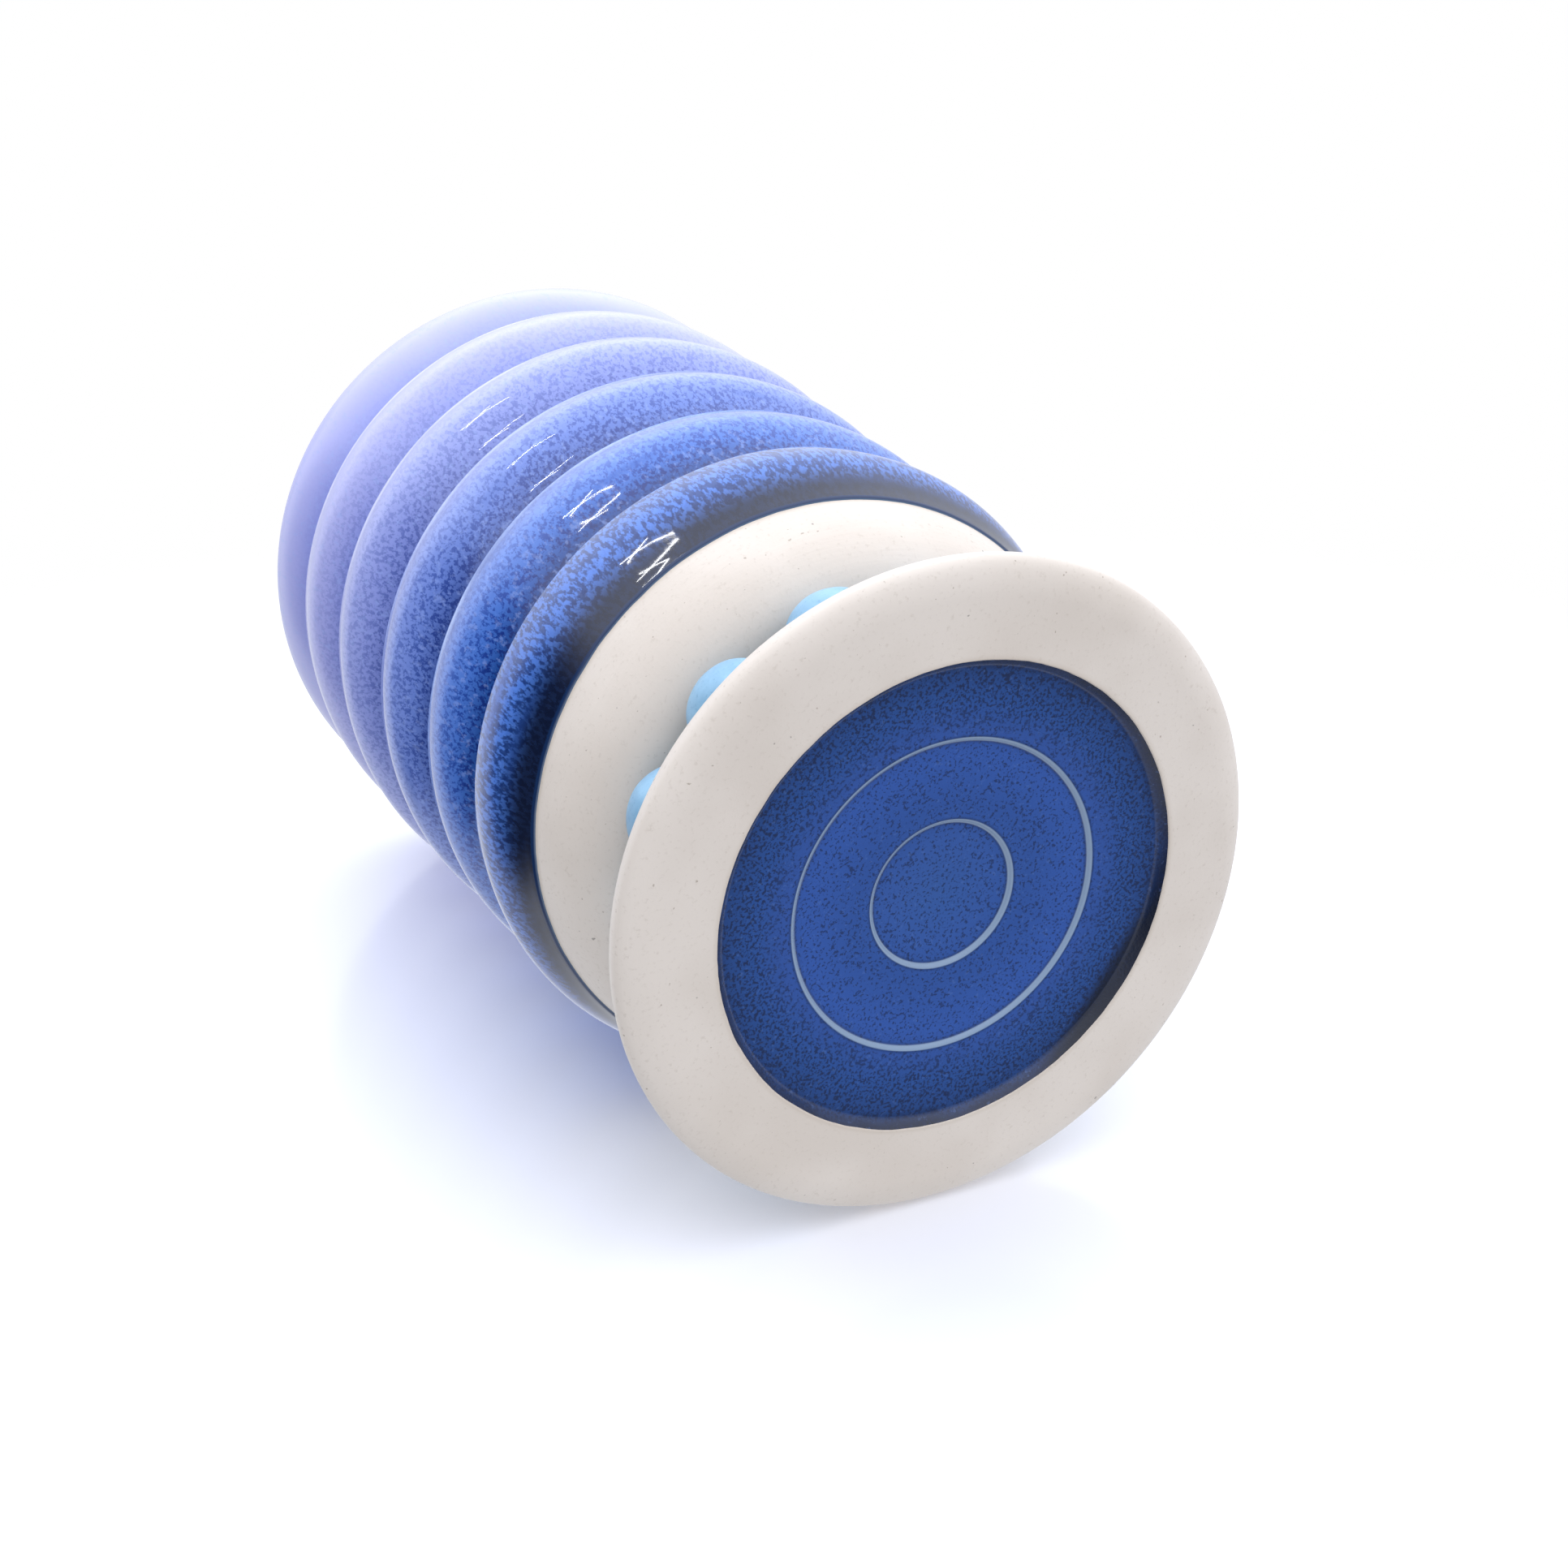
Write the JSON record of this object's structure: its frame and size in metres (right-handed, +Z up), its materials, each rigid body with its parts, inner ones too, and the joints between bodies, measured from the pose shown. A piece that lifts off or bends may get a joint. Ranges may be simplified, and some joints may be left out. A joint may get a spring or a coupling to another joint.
{
  "type": "butter crock",
  "caption": "Lidded stoneware butter crock: ridged glazed pot on a disc foot, ball track with clay beads round its neck, and a butter bell under the lid.",
  "frame": {"origin": "centre of the foot's rest ring, on the shelf", "axes": "+Z up the wheel axis to the lid; the tied end of the bead string is towards -Y"},
  "size_m": [0.097, 0.097, 0.1617],
  "materials": {
    "crock_stoneware": "gloss blue glaze over bare cream stoneware",
    "lid_stoneware": "gloss blue glaze, bare cream seat",
    "bead_clay": "satin light blue slip",
    "cotton_cord": "waxed cotton"
  },
  "bodies": {
    "crock": {"crock": "crock_stoneware"},
    "lid": {"lid": "lid_stoneware"},
    "bead_string": {"bead_cord": "cotton_cord"},
    "bead_01": {"bead_01": "bead_clay"},
    "bead_02": {"bead_02": "bead_clay"},
    "bead_03": {"bead_03": "bead_clay"},
    "bead_04": {"bead_04": "bead_clay"},
    "bead_05": {"bead_05": "bead_clay"},
    "bead_06": {"bead_06": "bead_clay"},
    "bead_07": {"bead_07": "bead_clay"},
    "bead_08": {"bead_08": "bead_clay"},
    "bead_09": {"bead_09": "bead_clay"},
    "bead_10": {"bead_10": "bead_clay"},
    "bead_11": {"bead_11": "bead_clay"},
    "bead_12": {"bead_12": "bead_clay"},
    "bead_13": {"bead_13": "bead_clay"}
  },
  "joints": [
    {"name": "a_lid_lift", "type": "slide", "parent": "crock", "child": "lid", "axis": [0, 0, 1], "range_m": [0, 0.095]},
    {"name": "b_bead_string_spin", "type": "hinge", "parent": "crock", "child": "bead_string", "pos_m": [0, 0, 0.0155], "axis": [0, 0, 1], "continuous": true},
    {"name": "bead_01_roll", "type": "hinge", "parent": "bead_string", "child": "bead_01", "pos_m": [0.00989, -0.02906, 0.0155], "axis": [0.9466, 0.3223, 0], "continuous": true},
    {"name": "bead_02_roll", "type": "hinge", "parent": "bead_string", "child": "bead_02", "pos_m": [0.02208, -0.02133, 0.0155], "axis": [0.6947, 0.7193, 0], "continuous": true},
    {"name": "bead_03_roll", "type": "hinge", "parent": "bead_string", "child": "bead_03", "pos_m": [0.02939, -0.00887, 0.0155], "axis": [0.289, 0.9573, 0], "continuous": true},
    {"name": "bead_04_roll", "type": "hinge", "parent": "bead_string", "child": "bead_04", "pos_m": [0.0302, 0.00554, 0.0155], "axis": [-0.1805, 0.9836, 0], "continuous": true},
    {"name": "bead_05_roll", "type": "hinge", "parent": "bead_string", "child": "bead_05", "pos_m": [0.02432, 0.01873, 0.0155], "axis": [-0.6101, 0.7923, 0], "continuous": true},
    {"name": "bead_06_roll", "type": "hinge", "parent": "bead_string", "child": "bead_06", "pos_m": [0.01307, 0.02778, 0.0155], "axis": [-0.9048, 0.4258, 0], "continuous": true},
    {"name": "bead_07_roll", "type": "hinge", "parent": "bead_string", "child": "bead_07", "pos_m": [-0.00107, 0.03068, 0.0155], "axis": [-0.9994, -0.0349, 0], "continuous": true},
    {"name": "bead_08_roll", "type": "hinge", "parent": "bead_string", "child": "bead_08", "pos_m": [-0.01498, 0.0268, 0.0155], "axis": [-0.8729, -0.4879, 0], "continuous": true},
    {"name": "bead_09_roll", "type": "hinge", "parent": "bead_string", "child": "bead_09", "pos_m": [-0.02557, 0.01699, 0.0155], "axis": [-0.5534, -0.8329, 0], "continuous": true},
    {"name": "bead_10_roll", "type": "hinge", "parent": "bead_string", "child": "bead_10", "pos_m": [-0.03051, 0.00342, 0.0155], "axis": [-0.1115, -0.9938, 0], "continuous": true},
    {"name": "bead_11_roll", "type": "hinge", "parent": "bead_string", "child": "bead_11", "pos_m": [-0.0287, -0.0109, 0.0155], "axis": [0.3551, -0.9348, 0], "continuous": true},
    {"name": "bead_12_roll", "type": "hinge", "parent": "bead_string", "child": "bead_12", "pos_m": [-0.02054, -0.02281, 0.0155], "axis": [0.7431, -0.6691, 0], "continuous": true},
    {"name": "bead_13_roll", "type": "hinge", "parent": "bead_string", "child": "bead_13", "pos_m": [-0.00784, -0.02968, 0.0155], "axis": [0.9668, -0.2554, 0], "continuous": true}
  ]
}
